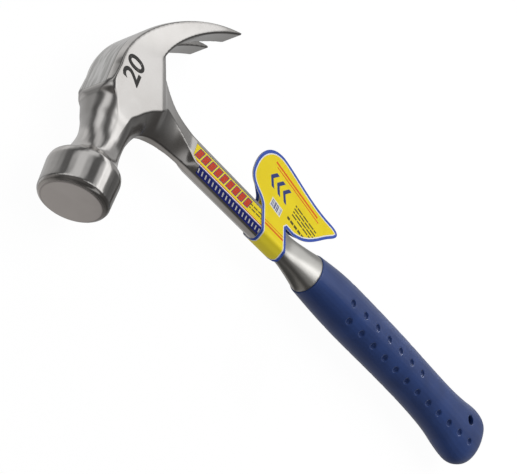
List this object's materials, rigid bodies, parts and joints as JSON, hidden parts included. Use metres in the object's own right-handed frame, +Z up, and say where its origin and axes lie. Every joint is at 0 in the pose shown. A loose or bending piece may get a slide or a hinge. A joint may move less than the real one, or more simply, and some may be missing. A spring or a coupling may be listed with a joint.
{
  "type": "curved claw hammer",
  "caption": "Curved claw hammer with head, claws and shank in one steel forging, a dimpled moulded grip with a hang hole, a shank label and a folded card hang tag.",
  "frame": {"origin": "middle of the outline, on the surface that the hammer lies on", "axes": "+X along the handle from the head to the butt, -Y to the striking face and +Y to the claws, +Z up with the hammer on its side"},
  "size_m": [0.3448, 0.1282, 0.033],
  "materials": {
    "polished_steel": "polished forging with fine brushed lines",
    "blue_vinyl": "smooth satin moulded vinyl",
    "printed_film": "glossy printed adhesive film",
    "printed_card": "coated printed card"
  },
  "bodies": {
    "hammer": {"forged_head_and_shank": "polished_steel", "grip": "blue_vinyl", "shank_label": "printed_film"},
    "tag": {"hang_tag": "printed_card"}
  },
  "joints": [
    {"name": "tag_slide", "type": "slide", "parent": "hammer", "child": "tag", "axis": [1, 0, 0], "range_m": [-0.04, 0]}
  ]
}
